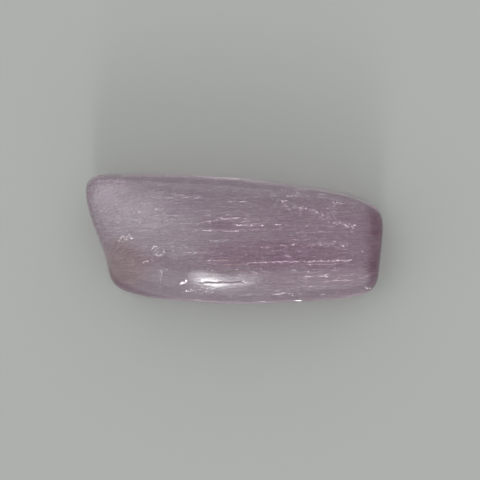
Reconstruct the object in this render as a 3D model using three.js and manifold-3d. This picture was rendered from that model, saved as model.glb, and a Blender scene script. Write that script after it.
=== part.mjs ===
// Kunzite crystal: one tumble-polished spodumene crystal, long along X, lying on its flattest face.
// Millimetres, +Z up, with the origin on the resting face under the middle of the crystal.

import * as THREE from 'three';
import { mergeVertices } from 'three/addons/utils/BufferGeometryUtils.js';
import Module from 'manifold-3d';

// The crystal's faces as tumbling left them. Heading is the way a face looks in plan, in degrees from
// +X towards +Y. Lean is how far it looks up, in degrees above the horizontal. Reach is the distance
// from the crystal's middle to the face.
const crystalFaces = [
  { heading: 172, lean: 85, reach: 7.7 }, // broad top, left half
  { heading: 16, lean: 85, reach: 7.8 }, // broad top, right half
  { heading: 0, lean: -90, reach: 8.2 }, // underside
  { heading: -102, lean: 57, reach: 9.75 }, // lower bevel, left half
  { heading: -80, lean: 57, reach: 9.75 }, // lower bevel, right half
  { heading: -120, lean: 44, reach: 14 }, // lower left facet
  { heading: -99, lean: 12, reach: 12.85 }, // lower side, left half
  { heading: -84, lean: 12, reach: 12.85 }, // lower side, right half
  { heading: -90, lean: -42, reach: 11.2 }, // lower side, turned under
  { heading: 88, lean: 6, reach: 11.4 }, // upper side, left half
  { heading: 79, lean: 4, reach: 12.4 }, // upper side, right half
  { heading: 88, lean: 46, reach: 11.2 }, // upper bevel
  { heading: 90, lean: -40, reach: 11.2 }, // upper side, turned under
  { heading: 199.5, lean: 5, reach: 24 }, // left end
  { heading: 197, lean: -42, reach: 22 }, // left end, turned under
  { heading: -6, lean: 4, reach: 28.4 }, // right end
  { heading: -3, lean: 56, reach: 18.2 }, // right end bevel
  { heading: -8, lean: -44, reach: 23.5 }, // right end, turned under
  { heading: 62, lean: 5, reach: 18.7 }, // upper right corner
  { heading: 142, lean: 3, reach: 29.2 }, // upper left corner
];

// How crisp tumbling left the edges between the faces: a larger number is a sharper edge.
const edgeSharpness = 13;

// The resting face is ground flat this far below the crystal's middle.
const restDepth = 7.5;

// Facets are spread evenly over a plain ellipsoid of these half lengths before they move to the faces.
const facetSpread = new THREE.Vector3(28, 12, 7.5);
const facetDetail = 12;

// Larger than the crystal in every direction.
const grindingSlab = { length: 80, width: 50, height: 10 };

const polishedKunzite = new THREE.MeshStandardMaterial({
  color: 0x87747f,
  roughness: 0.12,
  metalness: 0,
  transparent: true,
  opacity: 0.8,
});

// Outward normal of a face, divided by its reach: its dot product with a point is 1 on the face.
function facePlane({ heading, lean, reach }) {
  const along = Math.cos(THREE.MathUtils.degToRad(lean));
  const turn = THREE.MathUtils.degToRad(heading);
  const up = Math.sin(THREE.MathUtils.degToRad(lean));
  return new THREE.Vector3(along * Math.cos(turn), along * Math.sin(turn), up).divideScalar(reach);
}

// Distance from the middle to the worn surface. Each face counts by a high power of how much of its
// reach a unit step uses, so the nearest face rules and the edges between faces come out rounded.
function wornRadius(direction, planes) {
  const nearness = (total, plane) => total + Math.max(0, plane.dot(direction)) ** edgeSharpness;
  return planes.reduce(nearness, 0) ** (-1 / edgeSharpness);
}

// Ball of even facets, stretched to the crystal's proportions and moved out or in to the worn surface.
function wornCrystal() {
  const ball = new THREE.IcosahedronGeometry(1, facetDetail);
  ball.deleteAttribute('normal');
  ball.deleteAttribute('uv');
  const body = mergeVertices(ball);
  const planes = crystalFaces.map(facePlane);
  const corners = body.getAttribute('position');
  const corner = new THREE.Vector3();
  for (let i = 0; i < corners.count; i += 1) {
    corner.fromBufferAttribute(corners, i).multiply(facetSpread).normalize();
    corner.multiplyScalar(wornRadius(corner, planes));
    corners.setXYZ(i, corner.x, corner.y, corner.z);
  }
  return body;
}

// Slab whose upper face is the plane that the crystal rests on.
function restingSlab() {
  const slab = new THREE.BoxGeometry(grindingSlab.length, grindingSlab.width, grindingSlab.height);
  slab.deleteAttribute('normal');
  slab.deleteAttribute('uv');
  return mergeVertices(slab).translate(0, 0, -restDepth - grindingSlab.height / 2);
}

const wasm = await Module();
wasm.setup();

function toSolid(geometry) {
  const vertProperties = new Float32Array(geometry.getAttribute('position').array);
  const triVerts = new Uint32Array(geometry.getIndex().array);
  return new wasm.Manifold(new wasm.Mesh({ numProp: 3, vertProperties, triVerts }));
}

function toGeometry(solid) {
  const mesh = solid.getMesh();
  const geometry = new THREE.BufferGeometry();
  geometry.setAttribute('position', new THREE.BufferAttribute(mesh.vertProperties, 3));
  geometry.setIndex(new THREE.BufferAttribute(mesh.triVerts, 1));
  geometry.computeVertexNormals();
  return geometry;
}

const crystalGeometry = toGeometry(toSolid(wornCrystal()).subtract(toSolid(restingSlab())));
crystalGeometry.computeBoundingBox();
const middle = crystalGeometry.boundingBox.getCenter(new THREE.Vector3());
crystalGeometry.translate(-middle.x, -middle.y, restDepth);

const crystal = new THREE.Mesh(crystalGeometry, polishedKunzite);
crystal.name = 'kunzite_crystal';

const kunzite = new THREE.Group();
kunzite.add(crystal);

export default kunzite;
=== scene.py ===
import math

import bpy
import numpy as np
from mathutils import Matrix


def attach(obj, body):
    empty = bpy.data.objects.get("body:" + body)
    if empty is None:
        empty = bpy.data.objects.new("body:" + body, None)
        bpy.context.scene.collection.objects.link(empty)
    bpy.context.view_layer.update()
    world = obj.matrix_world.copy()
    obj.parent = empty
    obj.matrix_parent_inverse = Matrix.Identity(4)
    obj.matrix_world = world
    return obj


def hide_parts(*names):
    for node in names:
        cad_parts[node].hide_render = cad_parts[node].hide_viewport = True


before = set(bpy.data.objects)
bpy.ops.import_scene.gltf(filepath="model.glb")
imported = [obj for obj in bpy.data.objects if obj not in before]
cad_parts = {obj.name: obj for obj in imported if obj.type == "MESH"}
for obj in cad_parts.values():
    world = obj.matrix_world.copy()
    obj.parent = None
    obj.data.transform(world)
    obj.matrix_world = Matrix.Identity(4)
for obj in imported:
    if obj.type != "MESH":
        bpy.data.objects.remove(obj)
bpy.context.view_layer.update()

mm = 0.001


# Shader sums: a Wire is one output socket, and + - * / on it add Math nodes
class Wire:
    def __init__(self, tree, socket=None):
        self.tree = tree
        self.socket = socket

    # any node: settings first, then a value or a link for each input; gives one output
    def node(self, kind, settings=None, inputs=None, output=0):
        made = self.tree.nodes.new(kind)
        for key, value in (settings or {}).items():
            setattr(made, key, value)
        for key, value in (inputs or {}).items():
            if isinstance(value, Wire):
                self.tree.links.new(value.socket, made.inputs[key])
            else:
                made.inputs[key].default_value = value
        return Wire(self.tree, made.outputs[output])

    def maths(self, operation, first, second):
        return self.node("ShaderNodeMath", {"operation": operation}, {0: first, 1: second})

    def __add__(self, other):
        return self.maths("ADD", self, other)

    def __radd__(self, other):
        return self.maths("ADD", other, self)

    def __sub__(self, other):
        return self.maths("SUBTRACT", self, other)

    def __rsub__(self, other):
        return self.maths("SUBTRACT", other, self)

    def __mul__(self, other):
        return self.maths("MULTIPLY", self, other)

    def __rmul__(self, other):
        return self.maths("MULTIPLY", other, self)

    def __truediv__(self, other):
        return self.maths("DIVIDE", self, other)

    def __rtruediv__(self, other):
        return self.maths("DIVIDE", other, self)

    # object coordinates in millimetres, stretched
    def place(self, stretch=(1, 1, 1)):
        spot = self.node("ShaderNodeTexCoord", output="Object")
        return self.node("ShaderNodeMapping", {}, {"Vector": spot, "Scale": tuple(s / mm for s in stretch)})

    # object coordinates in millimetres as three values
    def axes(self):
        spot = self.place()
        return [self.node("ShaderNodeSeparateXYZ", {}, {0: spot}, axis) for axis in range(3)]

    # noise with so many features to the millimetre along each axis
    def noise(self, stretch, detail, roughness=0.5):
        sockets = {"Vector": self.place(stretch), "Scale": 1.0, "Detail": detail, "Roughness": roughness}
        return self.node("ShaderNodeTexNoise", {}, sockets)

    # 0 below low, 1 above high, smooth between
    def step(self, value, low, high):
        sockets = {"Value": value, "From Min": low, "From Max": high}
        return self.node("ShaderNodeMapRange", {"interpolation_type": "SMOOTHSTEP"}, sockets)

    # summed squares of the distances from a middle, each over its half size: 0 in the middle, 1 on the rim
    def ellipse(self, first, second, middle, half):
        across = (first - middle[0]) / half[0]
        along = (second - middle[1]) / half[1]
        return across * across + along * along

    # first colour at 0, blended with the second up to 1
    def mix(self, amount, first, second, blend="MIX"):
        settings = {"data_type": "RGBA", "blend_type": blend}
        return self.node("ShaderNodeMix", settings, {0: amount, 6: first, 7: second}, 2)

    # normals tilted by the slope of a height
    def bump(self, height, strength, distance):
        sockets = {"Height": height, "Strength": strength, "Distance": distance}
        return self.node("ShaderNodeBump", {}, sockets)


# an empty material, and a wire into its nodes
def newFinish(name):
    finish = bpy.data.materials.new(name)
    finish.use_nodes = True
    finish.node_tree.nodes.clear()
    return finish, Wire(finish.node_tree)


# the surface, and what fills the piece, go to the material's output
def closeFinish(finish, surface, volume=None):
    end = finish.node_tree.nodes.new("ShaderNodeOutputMaterial")
    finish.node_tree.links.new(surface.socket, end.inputs["Surface"])
    if volume:
        finish.node_tree.links.new(volume.socket, end.inputs["Volume"])
    return finish


# points (mm) and faces (vertex numbers) become a piece of the stone
def addPiece(name, points, faces, finish, smooth=True):
    mesh = bpy.data.meshes.new(name)
    mesh.from_pydata(points * mm, [], faces)
    mesh.polygons.foreach_set("use_smooth", np.full(len(mesh.polygons), smooth))
    mesh.materials.append(finish)
    mesh.update()
    piece = bpy.data.objects.new(name, mesh)
    bpy.context.scene.collection.objects.link(piece)
    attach(piece, "root")
    print(f"{name}: {len(points)} points, {len(faces)} faces")
    return piece


# The stone. Each worn face: heading in plan from +X and lean above the horizontal (degrees), reach from
# the stone's middle (mm).
stone = {
    "faces": [
        (172, 85, 7.7),      # broad top, left half
        (16, 85, 7.8),       # broad top, right half
        (0, -90, 8.2),       # underside
        (-102, 57, 9.75),    # lower bevel, left half
        (-80, 57, 9.75),     # lower bevel, right half
        (-120, 44, 14),      # lower left facet
        (-99, 12, 12.85),    # lower side, left half
        (-84, 12, 12.85),    # lower side, right half
        (-90, -42, 11.2),    # lower side, turned under
        (88, 6, 11.4),       # upper side, left half
        (79, 4, 12.4),       # upper side, right half
        (88, 46, 11.2),      # upper bevel
        (90, -40, 11.2),     # upper side, turned under
        (199.5, 5, 24),      # left end
        (197, -42, 22),      # left end, turned under
        (-6, 4, 28.4),       # right end
        (-3, 56, 18.2),      # right end bevel
        (-8, -44, 23.5),     # right end, turned under
        (62, 5, 18.7),       # upper right corner
        (142, 3, 29.2),      # upper left corner
    ],
    "edgeSharpness": 13,
    "restDepth": 7.5,        # flat underside, below the middle
    "restRounding": 0.3,
    "spread": (28, 12, 7.5),   # half lengths of the ball of grid lines
    "along": 330,
    "around": 296,
    "fineSteps": 7201,         # for spacing the grid lines
    # grid lines crowd about the marks: degrees, span, crowding
    "crowdAlong": [(97, 11, 1.6), (119.6, 0.9, 5), (120, 3.5, 1.0)],   # from the right end
    "crowdAround": [(133, 5, 7), (140, 9, 1.2)],                       # round from the upper side
    "ceiling": 20.0,           # clear above the stone, where the search for its top starts
    "halvings": 26,
}

crown = {
    "height": 0.37,
    "span": 24,       # along the stone, from swell to swell
    "ease": 0.25,     # rounding between the swells
    "across": 0.004,
    "ridge": 1.0,     # across the stone
    "flatness": 6,    # how soon it fades off the broad top
}

# Sides that bulge a little past the worn faces: plan middle, half size, height (mm)
bulges = [
    ((-23, -7.6), (2.8, 2.8), 0.7),     # lower left corner
    ((-16, -10.5), (7, 4), 0.3),        # lower side, left
]

# Marks on the surface: sizes in mm, places in mm from the middle of the resting face
crack = {
    "from": -7.3, "to": 2.4,   # along the stone
    "across": -8.05,           # place on the lower bevel
    "wander": [(2.3, 0.1, 0), (5.3, 0.06, 1), (11, 0.05, 0)],   # waves: turn to the mm, height, start
    "swell": 1.3,
    "depth": 0.17,
    "width": 0.07,
}

parting = {
    "at": -13.8,
    "from": -11.6, "to": -5.7,   # across the stone
    "swell": 0.4,
    "step": 0.16,
    "width": 0.15,
    "fade": 1.2,
}

bruise = {
    "at": (-14.1, -2.1),
    "radius": 1.05,
    "depth": 0.05,
    "rim": 0.22,
    "dent": 2.2,
    "ripple": 6,
}

pits = {
    "seed": 5,
    "count": 110,
    "from": (-9.8, -10.9), "to": (-3.0, -8.7),
    "radius": (0.1, 0.18),
    "depth": (0.008, 0.024),
}

wear = {
    "seed": 11,
    "waves": [(26, 0.12), (13, 0.03), (8, 0.009), (4.5, 0.003), (2.6, 0.0012)],   # wavelength, height
    "ways": 5,
    "dings": 46,
    "dingRadius": (0.25, 0.6),
    "dingDepth": (0.006, 0.022),
}


# each vector over its own length
def unit(vectors):
    return vectors / np.linalg.norm(vectors, axis=-1, keepdims=True)


# unit normals of the faces, each over its reach: the dot product with a point is 1 on the face
def facePlanes():
    heading, lean, reach = np.array(stone["faces"], float).T
    heading, lean = np.radians(heading), np.radians(lean)
    normal = np.stack([np.cos(heading) * np.cos(lean), np.sin(heading) * np.cos(lean), np.sin(lean)])
    return normal / reach


planes = facePlanes()


# how far out a point is: the p-th root of the sum of the p-th powers of its shares of each face's reach,
# 0 at the middle and 1 on the worn surface
def gauge(points):
    power = stone["edgeSharpness"]
    return (np.maximum(0, points @ planes) ** power).sum(-1) ** (1 / power)


# outward normals: each face's normal counts by how much it rules there
def surfaceNormal(points):
    near = np.maximum(0, points @ planes) ** (stone["edgeSharpness"] - 1)
    return unit(near @ planes.T)


# angles from low to high, crowded about some places: equal steps of the summed-up line density
def crowded(count, low, high, places):
    fine = np.linspace(low, high, stone["fineSteps"])
    density = 1 + sum(crowd * np.exp(-((fine - at) / span) ** 2) for at, span, crowd in places)
    summed = np.concatenate([[0], np.cumsum((density[1:] + density[:-1]) / 2)])
    return np.radians(np.interp(np.linspace(0, summed[-1], count), summed, fine))


# closed ball of rings along X with a point at each end: cosine of the swing along X, its sine round it
def ballGrid():
    swing = crowded(stone["along"] + 2, 0, 180, stone["crowdAlong"])[1:-1, None]
    turns = crowded(stone["around"] + 1, 0, 360, stone["crowdAround"])[:-1]
    x = np.cos(swing) + 0 * turns
    ring = np.stack([x, np.sin(swing) * np.cos(turns), np.sin(swing) * np.sin(turns)], -1)
    points = np.concatenate([[[1, 0, 0]], ring.reshape(-1, 3), [[-1, 0, 0]]])
    along, around = ring.shape[:2]
    here = np.arange(along * around).reshape(along, around) + 1
    after = np.roll(here, -1, 1)
    quads = np.stack([here[:-1], here[1:], after[1:], after[:-1]], -1).reshape(-1, 4)
    tip = np.zeros(around, int)
    firstFan = np.stack([tip, here[0], after[0]], -1)
    lastFan = np.stack([tip + along * around + 1, after[-1], here[-1]], -1)
    return points, firstFan.tolist() + quads.tolist() + lastFan.tolist()


# the underside is flattened with a soft larger-of-two of the height and the resting plane
def flattened(points):
    above = points[:, 2] + stone["restDepth"]
    eased = (above + np.sqrt(above ** 2 + stone["restRounding"] ** 2)) / 2
    return np.column_stack([points[:, :2], eased - eased.min() - stone["restDepth"]])


ball, ballFaces = ballGrid()
ray = ball * stone["spread"]
surface = ray / gauge(ray)[:, None]
plain = flattened(surface)
middle = np.append((plain.min(0) + plain.max(0))[:2] / 2, -stone["restDepth"])   # of the resting face


# height of the worn surface above plan points, by halving the gap between inside and outside
def topAt(x, y):
    low, high = np.zeros_like(x), np.full_like(x, stone["ceiling"])
    for halving in range(stone["halvings"]):
        z = (low + high) / 2
        outside = gauge(np.stack([x, y, z], -1) + middle) > 1
        low, high = np.where(outside, low, z), np.where(outside, z, high)
    return low


# round hollows: a bell of its radius and depth about each spot
def hollows(points, spots, radii, depths):
    height = np.zeros(len(points))
    for spot, radius, depth in zip(spots, radii, depths):
        height -= depth * np.exp(-(((points - spot) / radius) ** 2).sum(-1))
    return height


# unevenness that tumbling left: sums of sine waves in random directions, and shallow round dings
def wearHeight(points):
    random = np.random.default_rng(wear["seed"])
    height = np.zeros(len(points))
    for length, size in wear["waves"]:
        for wave in range(wear["ways"]):
            way = unit(random.normal(size=3))
            turn = points @ way * 2 * math.pi / length + random.uniform(0, 2 * math.pi)
            height += size / math.sqrt(wear["ways"]) * np.sin(turn)
    count = wear["dings"]
    spots = points[random.integers(0, len(points), count)]
    radii = random.uniform(*wear["dingRadius"], count)
    return height + hollows(points, spots, radii, random.uniform(*wear["dingDepth"], count))


# crown: along the stone the broad top swells by the size of a sine, and across it falls off by a parabola,
# so that it curves instead of meeting in a ridge
def crownHeight(points, normals):
    wave = np.sin(math.pi * points[:, 0] / crown["span"]) ** 2
    swell = crown["height"] * (np.sqrt(wave + crown["ease"] ** 2) - crown["ease"])
    fall = crown["across"] * (points[:, 1] - crown["ridge"]) ** 2
    return (swell - fall) * np.maximum(0, normals[:, 2]) ** crown["flatness"]


# bulging sides: a bell about each plan middle, less the more the surface looks up
def bulgeHeight(points, normals):
    bells = sum(size * np.exp(-(((points[:, :2] - at) / half) ** 2).sum(-1)) for at, half, size in bulges)
    return bells * (1 - np.maximum(0, normals[:, 2]))


# 0 at both ends of a stretch, 1 in its middle: a power of the sine of the share
def swelling(values, mark):
    share = np.clip((values - mark["from"]) / (mark["to"] - mark["from"]), 0, 1)
    return np.sin(math.pi * share) ** mark["swell"]


# dark open crack: a groove of bell section along a line that wanders by sine waves
def crackHeight(points):
    x, y = points[:, :2].T
    line = crack["across"] + sum(size * np.sin(turn * x + start) for turn, size, start in crack["wander"])
    return -crack["depth"] * swelling(x, crack) * np.exp(-((y - line) / crack["width"]) ** 2)


# parting line: a bell ridge across the lower bevel, with a step down to its right that fades away
def partingHeight(points):
    x, y = points[:, :2].T
    past = x - parting["at"]
    ridge = np.exp(-(past / parting["width"]) ** 2)
    fall = np.exp(-np.maximum(0, past) / parting["fade"]) * (past > 0)
    return parting["step"] * swelling(y, parting) * (ridge - fall)


# knock mark: a raised bell rim about a round dent with a cosine ripple in it
def bruiseHeight(points):
    away = np.linalg.norm(points[:, :2] - bruise["at"], axis=1) / bruise["radius"]
    rim = np.exp(-((away - 1) / bruise["rim"]) ** 2)
    dent = np.exp(-bruise["dent"] * away ** 2) * np.cos(bruise["ripple"] * away)
    return bruise["depth"] * (rim - dent)


# little pits strewn over a patch of the lower bevel
def pitHeight(points):
    random = np.random.default_rng(pits["seed"])
    plan = random.uniform(pits["from"], pits["to"], (pits["count"], 2))
    spots = np.column_stack([plan, topAt(*plan.T)])
    radii = random.uniform(*pits["radius"], pits["count"])
    return hollows(points, spots, radii, random.uniform(*pits["depth"], pits["count"]))


# each point of the worn surface moves along its normal by the wear, crown and bulges and, in the upper half,
# by the marks
def stonePoints():
    points = surface - middle
    normals = surfaceNormal(surface)
    shape = wearHeight(points) + crownHeight(points, normals) + bulgeHeight(points, normals)
    marks = crackHeight(points) + partingHeight(points) + bruiseHeight(points) + pitHeight(points)
    height = shape + marks * (points[:, 2] > stone["restDepth"])
    return flattened(surface + normals * height[:, None]) - middle


polish = {
    "dark": (0.89, 0.73, 0.85, 1),
    "light": (0.97, 0.86, 0.94, 1),
    "layers": [                              # share in the colour, noise to the mm, detail, roughness
        (0.16, (0.16, 2.4, 2.4), 5, 0.7),    # streaks along the length
        (0.46, (0.07, 0.6, 0.6), 3, 0.5),    # broad bands
        (0.38, (0.7, 1.5, 1.5), 3, 0.6),     # mottle
    ],
    "contrast": (0.36, 0.64),                # summed noise that is all dark and all light
    "fade": (0.1, 1.0),                      # a zone's colour is full up to the first, gone at its rim
    "ragged": (0.8, (0.2, 0.5, 0.5), 3),     # how far noise moves the rims, noise to the mm, detail
    "roughness": 0.045,
    "scuffs": (0.05, (0.65, 1.56, 1.56), 3),    # roughness added in patches, noise to the mm, detail
    "scuffed": (0.45, 0.75),                    # noise that is all smooth and all scuffed
    "wornCorner": ((-23, 10.5), (9, 5), 0.2),   # plan middle, half size, roughness added
    "grain": (0.03, (1.0, 5.2, 5.2), 4, 0.6),   # bump strength, noise to the mm, detail, roughness
    "grainHeight": 0.2,
    "transmission": 0.84,
    "ior": 1.66,
    "absorbs": (0.62, 0.2, 0.5, 1),
    "density": 13.0,
}

# Painted shade: deeper, darker colour in a band round the sides, so that the rim isn't too pale
paintedSideShade = {
    "level": 6.3,                    # above the floor
    "half": 2.7,
    "colour": (0.54, 0.4, 0.49, 1),
}

# Colour zones: plan middle and half size (mm), colour that filters the stone's own there, strength
zones = [
    ((15, -2), (24, 12), (0.95, 0.89, 0.93, 1), 0.9),         # pinker right half
    ((8, -2.8), (17, 3.4), (0.85, 0.72, 0.8, 1), 0.8),        # pinkest core
    ((-3.6, 2.7), (5, 1.0), (0.84, 0.76, 0.82, 1), 0.8),      # darker lens
    ((-9.5, 6.3), (7, 2.8), (0.85, 0.77, 0.85, 1), 0.8),      # darker cloud
    ((-21, -4.3), (7, 5.5), (0.97, 0.92, 0.83, 1), 0.9),      # iron-brown stain
    ((29.6, -1), (6.0, 22), (0.42, 0.2, 0.31, 1), 1.0),       # deep pink blunt end
]


# the summed noises pick a tint between dark and light, and the zones and the band of painted side shade
# multiply it;
# patches of scuffs and the worn corner add to the roughness
def kunziteFinish():
    finish, wire = newFinish("polished_kunzite")
    x, y, z = wire.axes()
    pale = sum(share * wire.noise(*layer) for share, *layer in polish["layers"])
    tint = wire.mix(wire.step(pale, *polish["contrast"]), polish["dark"], polish["light"])
    ragged, *raggedNoise = polish["ragged"]
    blur = ragged * (wire.noise(*raggedNoise) - 0.5)
    for at, half, colour, strength in zones:
        inside = 1 - wire.step(wire.ellipse(x, y, at, half) + blur, *polish["fade"])
        tint = wire.mix(inside * strength, tint, colour, "MULTIPLY")
    # painted shade: a band round the sides, about its level above the floor, darkens the tint
    above = (z - paintedSideShade["level"]) / paintedSideShade["half"]
    tint = wire.mix(1 - wire.step(above * above, *polish["fade"]), tint, paintedSideShade["colour"], "MULTIPLY")
    at, half, added = polish["wornCorner"]
    worn = 1 - wire.step(wire.ellipse(x, y, at, half), 0.0, 1.0)
    scuffing, *scuffNoise = polish["scuffs"]
    scuffs = wire.step(wire.noise(*scuffNoise), *polish["scuffed"])
    graining, *grainNoise = polish["grain"]
    shine = wire.node("ShaderNodeBsdfPrincipled", {}, {
        "Base Color": tint,
        "Roughness": polish["roughness"] + scuffing * scuffs + added * worn,
        "Normal": wire.bump(wire.noise(*grainNoise), graining, polish["grainHeight"] * mm),
        "IOR": polish["ior"],
        "Transmission Weight": polish["transmission"],
    })
    sockets = {"Color": polish["absorbs"], "Density": polish["density"]}
    return closeFinish(finish, shine, wire.node("ShaderNodeVolumeAbsorption", {}, sockets))


shown = stonePoints()
body = addPiece("kunzite_body", shown, ballFaces, kunziteFinish())
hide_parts("kunzite_crystal")


# Soft boxes far away: way towards each, half width and half height as sines, brightness in the middle
glows = {
    "key": ((-0.058, -0.924, 0.376), 0.105, 0.12, 10),       # on the lower bevel
    "keyEdge": ((-0.08, -0.885, 0.455), 0.15, 0.34, 4.2),
    "haze": ((-0.36, 0.14, 0.92), 0.45, 0.55, 0.8),          # on the broad top, left
    "front": ((0.2, -0.93, 0.32), 0.9, 0.45, 0.7),           # along the lower bevel
    "back": ((0, 0.93, 0.35), 1.0, 0.7, 0.54),               # along the upper bevel
    "left": ((-0.85, -0.2, 0.5), 0.5, 0.4, 0.6),
}

# Flaws inside the stone are placed in millimetres from the middle of the resting face
flaw = {
    "flatness": 0.015,      # thickness of a flake to its width
    "strayLeast": 0.01,
    "rolled": 0.25,         # share of flakes that face any way round their length
    "grazing": 0.08,        # below this slope towards a glow, the back glow lights a flake instead
    "drawnOut": (2, 1, 0.3),    # pull of X, Y and Z on the way a speck lies
    "longest": 2,               # a speck's length to its width
    "tries": 4,                 # lines tried for each one wanted
    "patchDetail": 2,
    "patchRange": (0.38, 0.62),   # noise that is all the first colour and all the second
    "stainFade": (0.2, 1),        # a stain is full up to the first, gone at its rim
}


# unit vector towards a glow
def glowWay(name):
    return unit(np.array(glows[name][0], float))


# two directions square to each given one, by cross products with Z, or with Y where it is nearly upright
def squareTo(way, upright=0.9):
    helper = np.where(np.abs(way[:, 2:]) < upright, (0.0, 0.0, 1.0), (0.0, 1.0, 0.0))
    first = unit(np.cross(helper, way))
    return first, np.cross(way, first)


# slim needles: a point, a three-cornered waist and a point, each needle its own way, half length and waist
def needles(centre, way, half, waist):
    first, second = squareTo(way)
    turns = np.radians([0, 120, 240])[None, :, None]
    ring = waist[:, None, None] * (np.cos(turns) * first[:, None] + np.sin(turns) * second[:, None])
    tips = half[:, None] * way
    points = np.concatenate([(centre - tips)[:, None], centre[:, None] + ring, (centre + tips)[:, None]], 1)
    faces = np.array([(4, 1, 2), (4, 2, 3), (4, 3, 1), (0, 2, 1), (0, 3, 2), (0, 1, 3)])
    every = faces[None] + points.shape[1] * np.arange(len(centre))[:, None, None]
    return points.reshape(-1, 3), every.reshape(-1, 3).tolist()


# flat flakes: a ring of six corners with a low point above and below, each facing its own way and drawn out
# along a direction
def flakes(centre, facing, along, length, width, corners=6):
    first = unit(along - (along * facing).sum(-1, keepdims=True) * facing)
    second = np.cross(facing, first)
    turns = np.radians(np.arange(corners) * 360 / corners)[None, :, None]
    ring = (length[:, None, None] * np.cos(turns) * first[:, None]
            + width[:, None, None] * np.sin(turns) * second[:, None])
    lift = flaw["flatness"] * width[:, None] * facing
    points = np.concatenate([(centre - lift)[:, None], centre[:, None] + ring, (centre + lift)[:, None]], 1)
    corner = np.arange(1, corners + 1)
    following = np.roll(corner, -1)
    upper = np.stack([0 * corner + corners + 1, corner, following], -1)
    lower = np.stack([0 * corner, following, corner], -1)
    faces = np.concatenate([upper, lower])
    every = faces[None] + points.shape[1] * np.arange(len(centre))[:, None, None]
    return points.reshape(-1, 3), every.reshape(-1, 3).tolist()


# lists of flakes' centres, facings, directions, half lengths and half widths become one piece
def addFlakes(name, parts, finish):
    points, faces = flakes(*(np.concatenate(part) for part in zip(*parts)))
    addPiece(name, points, faces, finish, smooth=False)


# a way out of the stone as it runs inside, bent at the surface by the law of refraction
def bent(way, normal):
    outside = (way * normal).sum(-1, keepdims=True)
    inside = np.sqrt(1 - (1 - outside ** 2) / polish["ior"] ** 2)
    return way / polish["ior"] + (inside - outside / polish["ior"]) * normal


# the way a flake under plan points faces when it throws the light of a glow straight up: half-way between
# both ways as they run inside
def glintFacing(centre, glow):
    x, y = centre[:, 0], centre[:, 1]
    normal = surfaceNormal(np.stack([x, y, topAt(x, y)], -1) + middle)
    reached = normal @ glowWay(glow) > flaw["grazing"]
    lamp = np.where(reached[:, None], glowWay(glow), glowWay("back"))
    return unit(bent(np.array([0, 0, 1.0]), normal) + bent(lamp, normal))


# facing ways strewn about the glint, some close to it and a share of them any way round the flake's length
def strewn(facing, along, stray, rolledShare, random):
    size = flaw["strayLeast"] * (stray / flaw["strayLeast"]) ** random.uniform(0, 1, (len(facing), 1))
    turned = unit(facing + random.normal(0, 1, facing.shape) * size)
    angle = random.uniform(0, 2 * math.pi, (len(facing), 1))
    rolled = np.cos(angle) * facing + np.sin(angle) * unit(np.cross(along, facing))
    return np.where(random.uniform(0, 1, (len(facing), 1)) < rolledShare, rolled, turned)


# spots spread evenly along a plan path at a depth under the top, with the path's own direction
def alongPath(path, depth, count, random):
    corners = np.array(path, float)
    strides = np.diff(corners, axis=0)
    ends = np.concatenate([[0], np.cumsum(np.linalg.norm(strides, axis=1))])
    share = np.sort(random.uniform(0, ends[-1], count))
    x, y = (np.interp(share, ends, corners[:, axis]) for axis in (0, 1))
    stretch = np.searchsorted(ends[1:-1], share)
    way = np.column_stack([unit(strides)[stretch], np.zeros(count)])
    return np.column_stack([x, y, topAt(x, y) - depth]), way


# specks at those spots that are inside the stone, lying about the glint and drawn out mostly along the stone
def specks(centre, radius, stray, rolledShare, glow, outermost, random):
    centre = centre[gauge(centre + middle) < outermost]
    along = unit(random.normal(0, 1, centre.shape) * flaw["drawnOut"])
    facing = strewn(glintFacing(centre, glow), along, stray, rolledShare, random)
    width = random.uniform(*radius, len(centre))
    return centre, facing, along, width * random.uniform(1, flaw["longest"], len(centre)), width


# middles and half lengths of straight lines along X that lie wholly inside the stone
def insideLines(lines, random):
    tries = lines["count"] * flaw["tries"]
    centre = random.uniform(-1, 1, (tries, 3)) * stone["spread"]
    half = random.uniform(*lines["half"], tries)
    reach = half[:, None] * (1, 0, 0)
    within = np.maximum(gauge(centre + reach), gauge(centre - reach)) < lines["outermost"]
    chosen = within & (centre[:, 2] > lines["lowest"] - stone["restDepth"])
    return centre[chosen][:lines["count"]] - middle, half[chosen][:lines["count"]]


# shine of a flaw's inner walls: two colours and a range of roughness, spread by a noise, with a stain over
# them where the flaw has one
def flawFinish(name, look):
    finish, wire = newFinish(name)
    patch = wire.noise((look["patches"],) * 3, flaw["patchDetail"])
    colour = wire.mix(wire.step(patch, *flaw["patchRange"]), *look["colours"])
    if "stain" in look:
        x, y = wire.axes()[:2]
        at, half, stain = look["stain"]
        stained = 1 - wire.step(wire.ellipse(x, y, at, half), *flaw["stainFade"])
        colour = wire.mix(stained, colour, stain)
    smoothest, roughest = look["roughness"]
    shine = wire.node("ShaderNodeBsdfPrincipled", {}, {
        "Base Color": colour,
        "Roughness": smoothest + (roughest - smoothest) * patch,
        "Metallic": look["metallic"],
    })
    return closeFinish(finish, shine)


# Growth silk: hair-thin hollow tubes along the length, everywhere in the stone
silk = {
    "seed": 3,
    "count": 9000,
    "half": (0.3, 2.6),
    "waist": (0.004, 0.02),
    "lean": 0.012,
    "outermost": 0.965,     # share of the way from the middle to the surface
    "lowest": 0.4,
    "look": {
        "patches": 0.6,
        "colours": ((0.82, 0.72, 0.8, 1), (0.96, 0.94, 0.96, 1)),
        "roughness": (0.3, 0.5),
        "metallic": 0.7,
    },
}


# needles that lie along X but for a small random lean
def addSilk():
    random = np.random.default_rng(silk["seed"])
    centre, half = insideLines(silk, random)
    way = unit(random.normal(0, silk["lean"], centre.shape) + (1, 0, 0))
    points, faces = needles(centre, way, half, random.uniform(*silk["waist"], len(centre)))
    addPiece("growth_silk", points, faces, flawFinish("growth_silk", silk["look"]))


addSilk()

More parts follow.
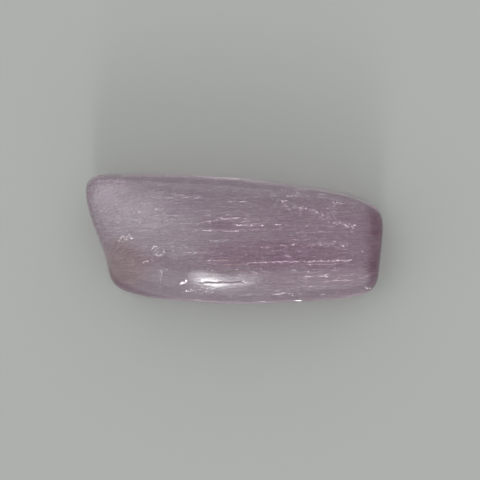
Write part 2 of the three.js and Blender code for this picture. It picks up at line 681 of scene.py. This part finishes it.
# Cleavage threads and glints: plan path, depth under the top, slivers to the millimetre, scatter, half
# length, half width, stray
threads = {
    "seed": 8,
    "fewest": 3,
    "scatterWays": (0, 1, 1.5),   # share of a line's scatter along X, Y and Z
    "lines": [
        # main thread and its left end
        ([(2, -4.3), (7, -4.1), (12, -4.0), (17, -3.9), (21.5, -3.8)],
         1.2, 11, 0.08, (0.06, 0.3), (0.02, 0.055), 0.2),
        ([(8, -4.05), (13, -3.95), (16, -3.9)], 1.1, 6, 0.12, (0.04, 0.12), (0.03, 0.07), 0.2),
        ([(-5.2, -3.85), (0.5, -3.9)], 1.5, 6, 0.04, (0.15, 0.6), (0.015, 0.04), 0.3),
        ([(-3, -4.6), (2.5, -4.5)], 1.5, 6, 0.04, (0.15, 0.6), (0.015, 0.04), 0.3),
        # arcs and straight lines left of the middle
        ([(-6.9, 2.9), (-3.5, 3.5), (0, 3.8), (0.6, 4.05)], 1.0, 6, 0.05, (0.2, 0.7), (0.015, 0.04), 0.2),
        ([(-5.7, 1.6), (0.4, 1.4)], 1.2, 6, 0.05, (0.2, 0.6), (0.012, 0.03), 0.3),
        ([(-6.5, -0.2), (-2, -0.3)], 1.3, 4, 0.06, (0.2, 0.6), (0.012, 0.03), 0.25),
        ([(-9.6, 2.1), (-6.7, 1.6)], 1.1, 9, 0.25, (0.05, 0.14), (0.02, 0.06), 0.16),
        ([(-1.4, 6.9), (2.5, 6.9)], 0.9, 6, 0.05, (0.2, 0.7), (0.015, 0.035), 0.16),
        ([(-14, 8.5), (-8.4, 7.7)], 1.0, 4, 0.14, (0.2, 0.7), (0.012, 0.03), 0.3),
        # broken line above the main thread
        ([(3, -1.7), (7.3, -1.6)], 1.2, 6, 0.12, (0.06, 0.3), (0.02, 0.045), 0.2),
        ([(8.6, -1.1), (11.8, -1.05)], 1.2, 7, 0.12, (0.06, 0.3), (0.02, 0.05), 0.18),
        ([(13.2, -1.0), (17.3, -0.9)], 1.2, 8, 0.14, (0.06, 0.3), (0.02, 0.05), 0.18),
        ([(19, -0.6), (20.5, -1.4)], 1.2, 12, 0.25, (0.04, 0.1), (0.02, 0.04), 0.18),
        # feather and the lines beside it
        ([(9, 6.2), (12.8, 5.5), (15.5, 4.5), (17.9, 3.5), (20.9, 2.7), (22, 2.1)],
         1.0, 7, 0.28, (0.05, 0.18), (0.02, 0.05), 0.1),
        ([(14.5, 5.3), (16.5, 4.3)], 1.0, 10, 0.2, (0.06, 0.2), (0.03, 0.06), 0.06),
        ([(1.1, 2.7), (5.5, 2.7)], 1.1, 9, 0.14, (0.05, 0.16), (0.02, 0.05), 0.2),
        ([(10, 2.6), (18.5, 2.4)], 1.3, 5, 0.12, (0.08, 0.35), (0.02, 0.04), 0.2),
        ([(8.6, 7.0), (10.2, 6.8)], 0.8, 9, 0.1, (0.1, 0.3), (0.02, 0.05), 0.12),
        # folded glint and knock mark at the left
        ([(-21.6, -0.6), (-20.8, 0.7), (-20.1, 0.0), (-19.6, 0.8), (-18.9, 0.2)],
         1.0, 22, 0.16, (0.05, 0.16), (0.03, 0.07), 0.2),
        ([(-16.9, -4), (-15.8, -4)], 0.7, 14, 0.07, (0.06, 0.2), (0.03, 0.06), 0.15),
        ([(-15.35, -1.95), (-15.2, -1.6), (-14.85, -1.35), (-14.4, -1.3)],
         0.3, 42, 0.07, (0.05, 0.14), (0.03, 0.07), 0.09),
        ([(-14.8, -2.4), (-14.5, -1.8), (-14.0, -1.6)], 0.35, 30, 0.03, (0.04, 0.12), (0.015, 0.04), 0.14),
        ([(-14.5, -2.6), (-14.25, -2.2), (-13.8, -2.0)], 0.35, 30, 0.03, (0.04, 0.12), (0.015, 0.04), 0.14),
        ([(-14.7, -2.75), (-14.2, -3.0), (-13.6, -2.9)], 0.3, 38, 0.05, (0.05, 0.15), (0.03, 0.06), 0.1),
        ([(-13.3, -2.7), (-13.0, -2.1), (-13.2, -1.6)], 0.35, 26, 0.15, (0.03, 0.08), (0.02, 0.05), 0.16),
        # parting line, the glint beside the crack and the lower bevel
        ([(-13.9, -5.8), (-13.8, -10.9)], 0.3, 8, 0.02, (0.15, 0.5), (0.006, 0.016), 0.5),
        ([(-10.1, -8.1), (-9.2, -7.8), (-8.9, -7.5)], 0.35, 30, 0.16, (0.1, 0.22), (0.06, 0.13), 0.1),
        ([(7.4, -10.15), (8.4, -10.2), (9.2, -9.85)], 0.35, 40, 0.02, (0.1, 0.22), (0.03, 0.06), 0.12),
        ([(7.4, -9.5), (8.5, -9.55), (9.0, -9.8)], 0.35, 9, 0.02, (0.1, 0.25), (0.02, 0.04), 0.14),
        ([(16.1, -10.2), (16.9, -10.0)], 0.35, 12, 0.05, (0.08, 0.2), (0.03, 0.06), 0.12),
        ([(10.4, -5.6), (11.4, -5.6)], 0.8, 8, 0.1, (0.1, 0.3), (0.03, 0.05), 0.18),
        ([(15.3, -6.3), (17.5, -6.6)], 0.8, 6, 0.2, (0.08, 0.25), (0.03, 0.06), 0.2),
        ([(18.7, -7.5), (19.3, -6.9)], 0.6, 12, 0.05, (0.06, 0.16), (0.02, 0.04), 0.2),
    ],
    "look": {
        "patches": 0.9,
        "colours": ((0.86, 0.8, 0.82, 1), (0.94, 1, 0.97, 1)),
        "stain": ((-0.8, -4.2), (5, 0.9), (0.46, 0.34, 0.27, 1)),   # iron: plan middle, half size, colour
        "roughness": (0.2, 0.32),
        "metallic": 1.0,
    },
}


# slivers strewn along each path, as many as its length times its slivers to the millimetre
def addThreads():
    random = np.random.default_rng(threads["seed"])
    parts = []
    for path, depth, perMm, scatter, half, width, stray in threads["lines"]:
        length = np.linalg.norm(np.diff(path, axis=0), axis=1).sum()
        count = max(threads["fewest"], int(length * perMm))
        centre, way = alongPath(path, depth, count, random)
        centre = centre + random.normal(0, scatter, centre.shape) * threads["scatterWays"]
        facing = strewn(glintFacing(centre, "key"), way, stray, flaw["rolled"], random)
        parts.append((centre, facing, way, random.uniform(*half, count), random.uniform(*width, count)))
    addFlakes("cleavage_threads", parts, flawFinish("cleavage_thread", threads["look"]))


addThreads()

# Deep threads: straight lines along the length all through the stone, their slivers turned any way round
deepThreads = {
    "seed": 9,
    "count": 46,
    "half": (1.5, 7),
    "slivers": 30,          # to a line
    "sliver": (0.2, 0.8),
    "width": (0.012, 0.04),
    "scatter": 0.05,
    "outermost": 0.94,
    "lowest": 0.8,
}


# each sliver sits at a random share of its line's half length and is turned about X
def addDeepThreads():
    random = np.random.default_rng(deepThreads["seed"])
    lineMiddle, half = insideLines(deepThreads, random)
    along = random.uniform(-1, 1, (deepThreads["slivers"], len(half))) * half
    centre = (lineMiddle + along[..., None] * (1, 0, 0)).reshape(-1, 3)
    centre = centre + random.normal(0, deepThreads["scatter"], centre.shape)
    angle = random.uniform(0, 2 * math.pi, len(centre))
    facing = np.stack([0 * angle, np.cos(angle), np.sin(angle)], -1)
    way = np.tile((1.0, 0, 0), (len(centre), 1))
    length = random.uniform(*deepThreads["sliver"], len(centre))
    width = random.uniform(*deepThreads["width"], len(centre))
    finish = flawFinish("deep_thread", threads["look"])
    addFlakes("deep_threads", [(centre, facing, way, length, width)], finish)


addDeepThreads()

# Healed fractures: tiny flat fluid pockets that glint. Plan path, depth, count, scatter across and down,
# radius
feather = {
    "seed": 21,
    "stray": 0.11,
    "outermost": 0.98,
    "veils": [
        ([(9, 6.4), (12.8, 5.5), (15.5, 4.5), (17.9, 3.5), (22, 2.1)], 1.1, 170, 0.45, 0.4, (0.02, 0.08)),
        ([(17.7, 6.7), (19.5, 6.7)], 0.8, 60, 0.4, 0.2, (0.02, 0.06)),
        ([(17.5, 5.7), (18.6, 4.8)], 0.8, 60, 0.4, 0.2, (0.02, 0.06)),
        ([(8, 9.2), (15, 9.3)], 0.5, 50, 0.25, 0.1, (0.02, 0.06)),
        ([(19, 8.3), (25, 7.3)], 0.5, 34, 0.3, 0.1, (0.02, 0.06)),
        ([(18.0, 2.6), (20.6, 2.8), (22.2, 2.0)], 0.9, 50, 0.35, 0.3, (0.02, 0.06)),
        ([(1.1, 2.7), (5.3, 2.6)], 1.2, 40, 0.14, 0.3, (0.02, 0.08)),
        ([(9.6, 5.9), (10, 5.7)], 0.8, 8, 0.06, 0.1, (0.03, 0.1)),
        ([(10, -1.2), (21, -0.9)], 1.3, 60, 0.35, 0.4, (0.02, 0.06)),
        ([(-24, 3.5), (-12, 3.5)], 1.0, 260, 1.8, 0.4, (0.02, 0.05)),
        ([(-9.6, -9.6), (-4.0, -9.8)], 0.4, 90, 0.55, 0.1, (0.02, 0.07)),
        ([(-7.5, -11.2), (-6.3, -11.3)], 0.6, 16, 0.05, 0.1, (0.04, 0.1)),
        ([(2, 4), (22, 4)], 1.3, 190, 3.2, 0.7, (0.02, 0.05)),
        ([(4, -4), (24, -4)], 1.3, 170, 2.4, 0.6, (0.02, 0.05)),
        ([(-22, -2), (-8, 4)], 1.2, 120, 3.0, 0.5, (0.02, 0.04)),
        ([(8, -10.4), (13, -10.2)], 0.4, 40, 0.35, 0.1, (0.02, 0.06)),
        ([(24.6, -9.0), (25.3, -9.3)], 0.5, 8, 0.12, 0.1, (0.03, 0.08)),
    ],
    "look": {
        "patches": 1.5,
        "colours": ((0.96, 0.95, 0.96, 1), (0.92, 1, 0.97, 1)),
        "roughness": (0.12, 0.22),
        "metallic": 1.0,
    },
}


# specks scattered by a bell across and down from each path
def addFeather():
    random = np.random.default_rng(feather["seed"])
    parts = []
    for path, depth, count, across, down, radius in feather["veils"]:
        centre = alongPath(path, depth, count, random)[0]
        centre = centre + random.normal(0, 1, centre.shape) * (across, across, down)
        look = (radius, feather["stray"], flaw["rolled"], "key", feather["outermost"])
        parts.append(specks(centre, *look, random))
    addFlakes("healed_feather", parts, flawFinish("fluid_pockets", feather["look"]))


addFeather()

# Clouds of specks: plan middle, spread of the bell, count, depth, radius, stray, share facing any way, and
# the glow they throw up
clouds = {
    "seed": 14,
    "outermost": 0.97,
    "all": {
        "milky_cloud": [
            ((-19, 5.2), (4.6, 2.8), 11000, (0.5, 4.5), (0.012, 0.036), 0.2, 0, "haze"),    # left end
            ((-23.6, 8.6), (2.0, 1.8), 4000, (0.3, 3.5), (0.012, 0.036), 0.2, 0, "haze"),   # its corner
        ],
        "pinpoints": [
            ((2, 0), (16, 6), 6000, (0.3, 2.6), (0.03, 0.065), 0.25, 0.25, "key"),          # everywhere
        ],
    },
    "look": {
        "patches": 0.6,
        "colours": ((0.86, 0.9, 0.94, 1), (0.95, 0.97, 1, 1)),
        "roughness": (0.25, 0.4),
        "metallic": 1.0,
    },
}


# specks scattered by a bell in plan and evenly down from the top
def addClouds():
    random = np.random.default_rng(clouds["seed"])
    finish = flawFinish("cloud_specks", clouds["look"])
    for name, heaps in clouds["all"].items():
        parts = []
        for at, spread, count, depth, radius, stray, rolledShare, glow in heaps:
            x, y = (random.normal(0, 1, (count, 2)) * spread + at).T
            centre = np.column_stack([x, y, topAt(x, y) - random.uniform(*depth, count)])
            parts.append(specks(centre, radius, stray, rolledShare, glow, clouds["outermost"], random))
        addFlakes(name, parts, finish)


addClouds()

# Standing veils: healed fractures on edge, each a flat lacy patch of flakes. Middle, way it faces, half
# length, half height, count
veils = {
    "seed": 33,
    "all": [
        ((3, 7.2, 6.0), (0.12, 0.96, 0.25), 11, 4.5, 800),
        ((-15, 5.5, 4.5), (-0.3, 0.9, 0.3), 6, 3.5, 350),
        ((16, -6.3, 4.8), (0.15, -0.97, 0.2), 7, 3.2, 320),
        ((21.5, 1, 6.0), (0.93, 0.1, 0.35), 7, 4.5, 420),
    ],
    "radius": (0.03, 0.1),
    "longest": 2.2,         # length to width
    "unevenness": 0.12,
    "ripples": [(5, 0, 0), (0, 4, 1)],   # waves of the unevenness: turn along, turn up, start
    "stray": 0.16,
    "holes": [(7, 3), (-4, 11)],         # waves that part the lace: turn along, turn up
    "fullness": 0.7,        # below this sum of waves there are flakes
    "outermost": 0.96,
    "lowest": 0.6,
}


# flakes on a standing rectangle bowed by sine waves, kept where another sum of sine waves and the squared
# distance from its middle stays low
def addVeils():
    random = np.random.default_rng(veils["seed"])
    parts = []
    for at, towards, halfLength, halfHeight, count in veils["all"]:
        towards = unit(np.array([towards], float))
        side, rise = squareTo(towards)
        u, v = random.uniform(-1, 1, (2, count, 1))
        holes = sum(np.sin(a * u + b * v) for a, b in veils["holes"]) + u ** 2 + v ** 2
        bow = veils["unevenness"] * sum(np.sin(a * u + b * v + start) for a, b, start in veils["ripples"])
        centre = np.array(at) + u * halfLength * side + v * halfHeight * rise + bow * towards
        inside = (gauge(centre + middle) < veils["outermost"]) & (centre[:, 2] > veils["lowest"])
        centre = centre[inside & (holes[:, 0] < veils["fullness"])]
        facing = unit(towards + random.normal(0, veils["stray"], centre.shape))
        along = unit(random.normal(0, 1, centre.shape))
        width = random.uniform(*veils["radius"], len(centre))
        length = width * random.uniform(1, veils["longest"], len(centre))
        parts.append((centre, facing, along, length, width))
    addFlakes("standing_veils", parts, flawFinish("standing_veils", feather["look"]))


addVeils()

# Edge chips: slivers bruised loose in the skin of an edge, where they throw a glow's light straight up. Plan
# path, count, half length, half width, glow
chips = {
    "seed": 41,
    "stray": 0.05,
    "all": [
        ([(4.4, -11.62), (5.3, -11.66)], 5, (0.08, 0.2), (0.02, 0.04), "key"),
        ([(10.9, -11.5), (12.3, -11.46)], 9, (0.1, 0.25), (0.02, 0.045), "key"),
        ([(-7.5, -11.3), (-6.3, -11.4)], 3, (0.05, 0.08), (0.03, 0.04), "key"),
        ([(24.4, -9.0), (25.4, -9.3)], 4, (0.05, 0.08), (0.03, 0.05), "key"),
        ([(12.6, 9.2), (14.4, 9.1)], 5, (0.06, 0.2), (0.02, 0.05), "back"),
        ([(-14.2, 10.1), (-12.6, 10.1)], 5, (0.1, 0.3), (0.02, 0.04), "back"),
        ([(8.5, 9.2), (9.3, 9.2)], 3, (0.06, 0.2), (0.02, 0.05), "back"),
        ([(15, 8.6), (18, 8.0)], 7, (0.08, 0.2), (0.03, 0.06), "back"),
    ],
}


# each chip goes to the nearest point of the upper surface in plan and faces half-way between up and its glow
def addChips():
    random = np.random.default_rng(chips["seed"])
    upper = shown[shown[:, 2] > stone["restDepth"]]
    parts = []
    for path, count, half, width, glow in chips["all"]:
        spot, way = alongPath(path, 0, count, random)
        away = np.linalg.norm(upper[:, :2] - spot[:, None, :2], axis=-1)
        centre = upper[away.argmin(1)]
        halfway = unit(np.array([0, 0, 1.0]) + glowWay(glow))
        facing = unit(halfway + random.normal(0, chips["stray"], centre.shape))
        parts.append((centre, facing, way, random.uniform(*half, count), random.uniform(*width, count)))
    addFlakes("edge_chips", parts, flawFinish("edge_chips", feather["look"]))


addChips()

# Stage: pale floor, soft boxes, camera straight above
stage = {
    "floorSize": 6.0,       # metres
    "floorGap": 0.05,
    "floorColour": (0.56, 0.575, 0.555, 1),
    "floorRoughness": 0.7,
    "floorShine": 0.2,
    "worldColour": (0.98, 1, 0.98, 1),
    "worldStrength": 0.45,
    "backdrop": 0.5,        # plain brightness that the camera sees behind the stone
    "glowFront": 0.1,       # slope past side-on at which a glow is in full
}


# a square just under the stone
def addFloor():
    half, z = stage["floorSize"] / 2, -stage["floorGap"] * mm
    corners = [(-half, -half, z), (half, -half, z), (half, half, z), (-half, half, z)]
    mesh = bpy.data.meshes.new("floor")
    mesh.from_pydata(corners, [], [(0, 1, 2, 3)])
    finish, wire = newFinish("pale_floor")
    paint = wire.node("ShaderNodeBsdfPrincipled", {}, {
        "Base Color": stage["floorColour"],
        "Roughness": stage["floorRoughness"],
        "Specular IOR Level": stage["floorShine"],
    })
    mesh.materials.append(closeFinish(finish, paint))
    floor = bpy.data.objects.new("floor", mesh)
    bpy.context.scene.collection.objects.link(floor)


view = {
    "height": 0.5,                # metres
    "frameWidth": 90.05,          # mm across the picture at the stone's widest level
    "level": 7.0,
    "centre": (234.75, 239.25),   # stone's middle in the picture, pixels
    "picture": 480,
    "sensor": 36,
    "clip": (0.01, 20),           # metres
}


# lens length: the sensor times the distance to the stone over the width of the frame there
def addCamera():
    camera = bpy.data.cameras.new("camera")
    camera.sensor_width = view["sensor"]
    away = view["height"] - view["level"] * mm
    camera.lens = view["sensor"] * away / (view["frameWidth"] * mm)
    camera.clip_start, camera.clip_end = view["clip"]
    half = view["picture"] / 2
    camera.shift_x = (half - view["centre"][0]) / view["picture"]
    camera.shift_y = (view["centre"][1] - half) / view["picture"]
    eye = bpy.data.objects.new("camera", camera)
    eye.location = (0, 0, view["height"])
    bpy.context.scene.collection.objects.link(eye)
    bpy.context.scene.camera = eye


# each glow is 1 in its middle and fades to 0 at its half width and height; they add up over a plain dome
def setWorld():
    world = bpy.data.worlds.new("studio")
    world.use_nodes = True
    world.node_tree.nodes.clear()
    wire = Wire(world.node_tree)
    way = wire.node("ShaderNodeTexCoord", output="Generated")
    light = stage["worldStrength"]
    for name, glow in glows.items():
        width, height, brightness = glow[1:]
        ahead = glowWay(name)[None]
        across, along, facing = [
            wire.node("ShaderNodeVectorMath", {"operation": "DOT_PRODUCT"}, {0: way, 1: axis[0]}, "Value")
            for axis in (*squareTo(ahead), ahead)
        ]
        fade = 1 - wire.step(wire.ellipse(across, along, (0, 0), (width, height)), 0.0, 1.0)
        light = light + brightness * fade * wire.step(facing, 0.0, stage["glowFront"])
    straight = wire.node("ShaderNodeLightPath", output="Is Camera Ray")
    light = light * (1 - straight) + stage["backdrop"] * straight
    sky = wire.node("ShaderNodeBackground", {}, {"Color": stage["worldColour"], "Strength": light})
    end = world.node_tree.nodes.new("ShaderNodeOutputWorld")
    world.node_tree.links.new(sky.socket, end.inputs["Surface"])
    bpy.context.scene.world = world
    bpy.context.scene.view_settings.view_transform = "Standard"


addFloor()
addCamera()
setWorld()
print("stage set")
